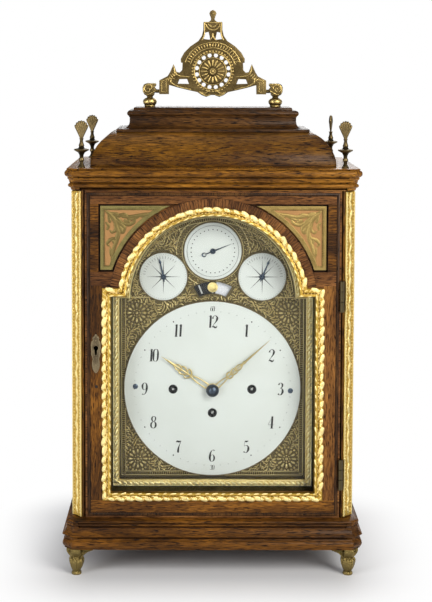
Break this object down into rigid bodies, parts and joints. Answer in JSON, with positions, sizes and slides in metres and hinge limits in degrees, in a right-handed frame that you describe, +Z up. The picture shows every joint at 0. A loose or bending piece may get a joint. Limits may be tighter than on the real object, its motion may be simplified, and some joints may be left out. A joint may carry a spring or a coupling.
{
  "type": "bracket clock",
  "caption": "Wooden bell-top bracket clock with an arched glazed door, white enamel dials, brass handle, finials and feet.",
  "frame": {"origin": "middle of the case, on the surface that the feet stand on", "axes": "+X to the right seen from the front, +Y to the back, +Z up"},
  "size_m": [0.3054, 0.1894, 0.5763],
  "materials": {
    "carcase_wood": "french polished mahogany, horizontal grain",
    "door_wood": "french polished mahogany, cross-banded",
    "gilt_brass": "gilt, carved and burnished",
    "cast_brass": "cast, chased and aged",
    "dial_brass": "matted and engraved, lacquered",
    "movement_brass": "brushed and polished",
    "bell_metal": "turned bell metal",
    "dial_enamel": "fired white enamel, glossy",
    "blued_steel": "heat blued",
    "polished_steel": "polished",
    "clear_glass": "clear"
  },
  "bodies": {
    "case": {"base_plinth": "carcase_wood", "cornice": "carcase_wood", "bell_top": "carcase_wood", "bell_top_cap": "carcase_wood", "seat_board": "carcase_wood", "left_side_panel": "carcase_wood", "right_side_panel": "carcase_wood", "left_pilaster": "gilt_brass", "right_pilaster": "gilt_brass", "dial_mask": "gilt_brass", "upper_case_hinge": "cast_brass", "lower_case_hinge": "cast_brass", "left_handle_post": "cast_brass", "right_handle_post": "cast_brass", "front_left_finial": "cast_brass", "front_left_foot": "cast_brass", "front_right_finial": "cast_brass", "front_right_foot": "cast_brass", "rear_left_finial": "cast_brass", "rear_left_foot": "cast_brass", "rear_right_finial": "cast_brass", "rear_right_foot": "cast_brass", "dial_plate": "dial_brass", "main_dial": "dial_enamel", "date_dial": "dial_enamel", "strike_dial": "dial_enamel", "repeat_dial": "dial_enamel", "movement_front_plate": "movement_brass", "movement_back_plate": "movement_brass", "left_side_window": "clear_glass", "right_side_window": "clear_glass", "hour_bell": "bell_metal"},
    "front_door": {"front_door_frame": "door_wood", "door_gilt_moulding": "gilt_brass", "front_door_glass": "clear_glass", "keyhole_escutcheon": "cast_brass", "left_spandrel": "cast_brass", "right_spandrel": "cast_brass", "upper_door_hinge": "cast_brass", "lower_door_hinge": "cast_brass"},
    "lock_bolt": {"lock_bolt": "polished_steel"},
    "rear_door": {"rear_door_frame": "door_wood", "rear_door_glass": "clear_glass"},
    "rear_catch": {"rear_door_catch": "cast_brass"},
    "minute_hand": {"centre_arbor": "polished_steel", "minute_hand": "gilt_brass", "hand_nut": "blued_steel"},
    "hour_hand": {"hour_wheel": "movement_brass", "hour_hand": "gilt_brass"},
    "minute_wheel": {"minute_wheel": "movement_brass"},
    "date_hand": {"date_hand": "blued_steel"},
    "strike_hand": {"strike_hand": "blued_steel"},
    "repeat_hand": {"repeat_hand": "blued_steel"},
    "strike_fusee": {"strike_fusee": "movement_brass"},
    "going_fusee": {"going_fusee": "movement_brass"},
    "quarter_fusee": {"quarter_fusee": "movement_brass"},
    "pendulum": {"verge_arbor": "polished_steel", "pendulum": "movement_brass"},
    "bell_hammer": {"bell_hammer": "polished_steel"},
    "handle": {"handle": "cast_brass"}
  },
  "joints": [
    {"name": "front_door_hinge", "type": "hinge", "parent": "case", "child": "front_door", "pos_m": [0.12948, -0.0866, 0.1859], "axis": [0, 0, 1], "range_deg": [0, 110]},
    {"name": "lock_bolt_slide", "type": "slide", "parent": "front_door", "child": "lock_bolt", "axis": [-1, 0, 0], "range_m": [0, 0.005]},
    {"name": "rear_door_hinge", "type": "hinge", "parent": "case", "child": "rear_door", "pos_m": [-0.1239, 0.078, 0.1859], "axis": [0, 0, 1], "range_deg": [0, 90]},
    {"name": "rear_catch_turn", "type": "hinge", "parent": "rear_door", "child": "rear_catch", "pos_m": [0.1156, 0.078, 0.2259], "axis": [0, 1, 0], "range_deg": [0, 90]},
    {"name": "minute_hand_turn", "type": "hinge", "parent": "case", "child": "minute_hand", "pos_m": [0, -0.06, 0.1859], "axis": [0, 1, 0], "continuous": true},
    {"name": "hour_hand_turn", "type": "hinge", "parent": "case", "child": "hour_hand", "pos_m": [0, -0.06, 0.1859], "axis": [0, 1, 0], "continuous": true},
    {"name": "minute_wheel_turn", "type": "hinge", "parent": "case", "child": "minute_wheel", "pos_m": [0, -0.046, 0.2059], "axis": [0, 1, 0], "continuous": true},
    {"name": "date_hand_turn", "type": "hinge", "parent": "case", "child": "date_hand", "pos_m": [0, -0.055, 0.3286], "axis": [0, 1, 0], "continuous": true},
    {"name": "strike_hand_turn", "type": "hinge", "parent": "case", "child": "strike_hand", "pos_m": [-0.0506, -0.055, 0.3022], "axis": [0, 1, 0], "range_deg": [-12, 37]},
    {"name": "repeat_hand_turn", "type": "hinge", "parent": "case", "child": "repeat_hand", "pos_m": [0.0506, -0.055, 0.3022], "axis": [0, 1, 0], "range_deg": [-47, 2]},
    {"name": "strike_winding", "type": "hinge", "parent": "case", "child": "strike_fusee", "pos_m": [-0.0405, -0.03, 0.1859], "axis": [0, 1, 0], "range_deg": [0, 1440]},
    {"name": "going_winding", "type": "hinge", "parent": "case", "child": "going_fusee", "pos_m": [0, -0.03, 0.1614], "axis": [0, 1, 0], "range_deg": [0, 1440]},
    {"name": "quarter_winding", "type": "hinge", "parent": "case", "child": "quarter_fusee", "pos_m": [0.0405, -0.03, 0.1859], "axis": [0, 1, 0], "range_deg": [0, 1440]},
    {"name": "pendulum_swing", "type": "hinge", "parent": "case", "child": "pendulum", "pos_m": [0, 0, 0.2583], "axis": [0, 1, 0], "range_deg": [-14, 14]},
    {"name": "bell_hammer_lift", "type": "hinge", "parent": "case", "child": "bell_hammer", "pos_m": [0.046, 0, 0.2399], "axis": [0, 1, 0], "range_deg": [0, 16]},
    {"name": "handle_fold", "type": "hinge", "parent": "case", "child": "handle", "pos_m": [0, 0, 0.491], "axis": [1, 0, 0], "range_deg": [-110, 110]}
  ],
  "couplings": [
    {"joint": "hour_hand_turn", "follows": "minute_hand_turn", "ratio": 0.083333},
    {"joint": "minute_wheel_turn", "follows": "minute_hand_turn", "ratio": -0.33333},
    {"joint": "date_hand_turn", "follows": "minute_hand_turn", "ratio": 0.0013441}
  ]
}
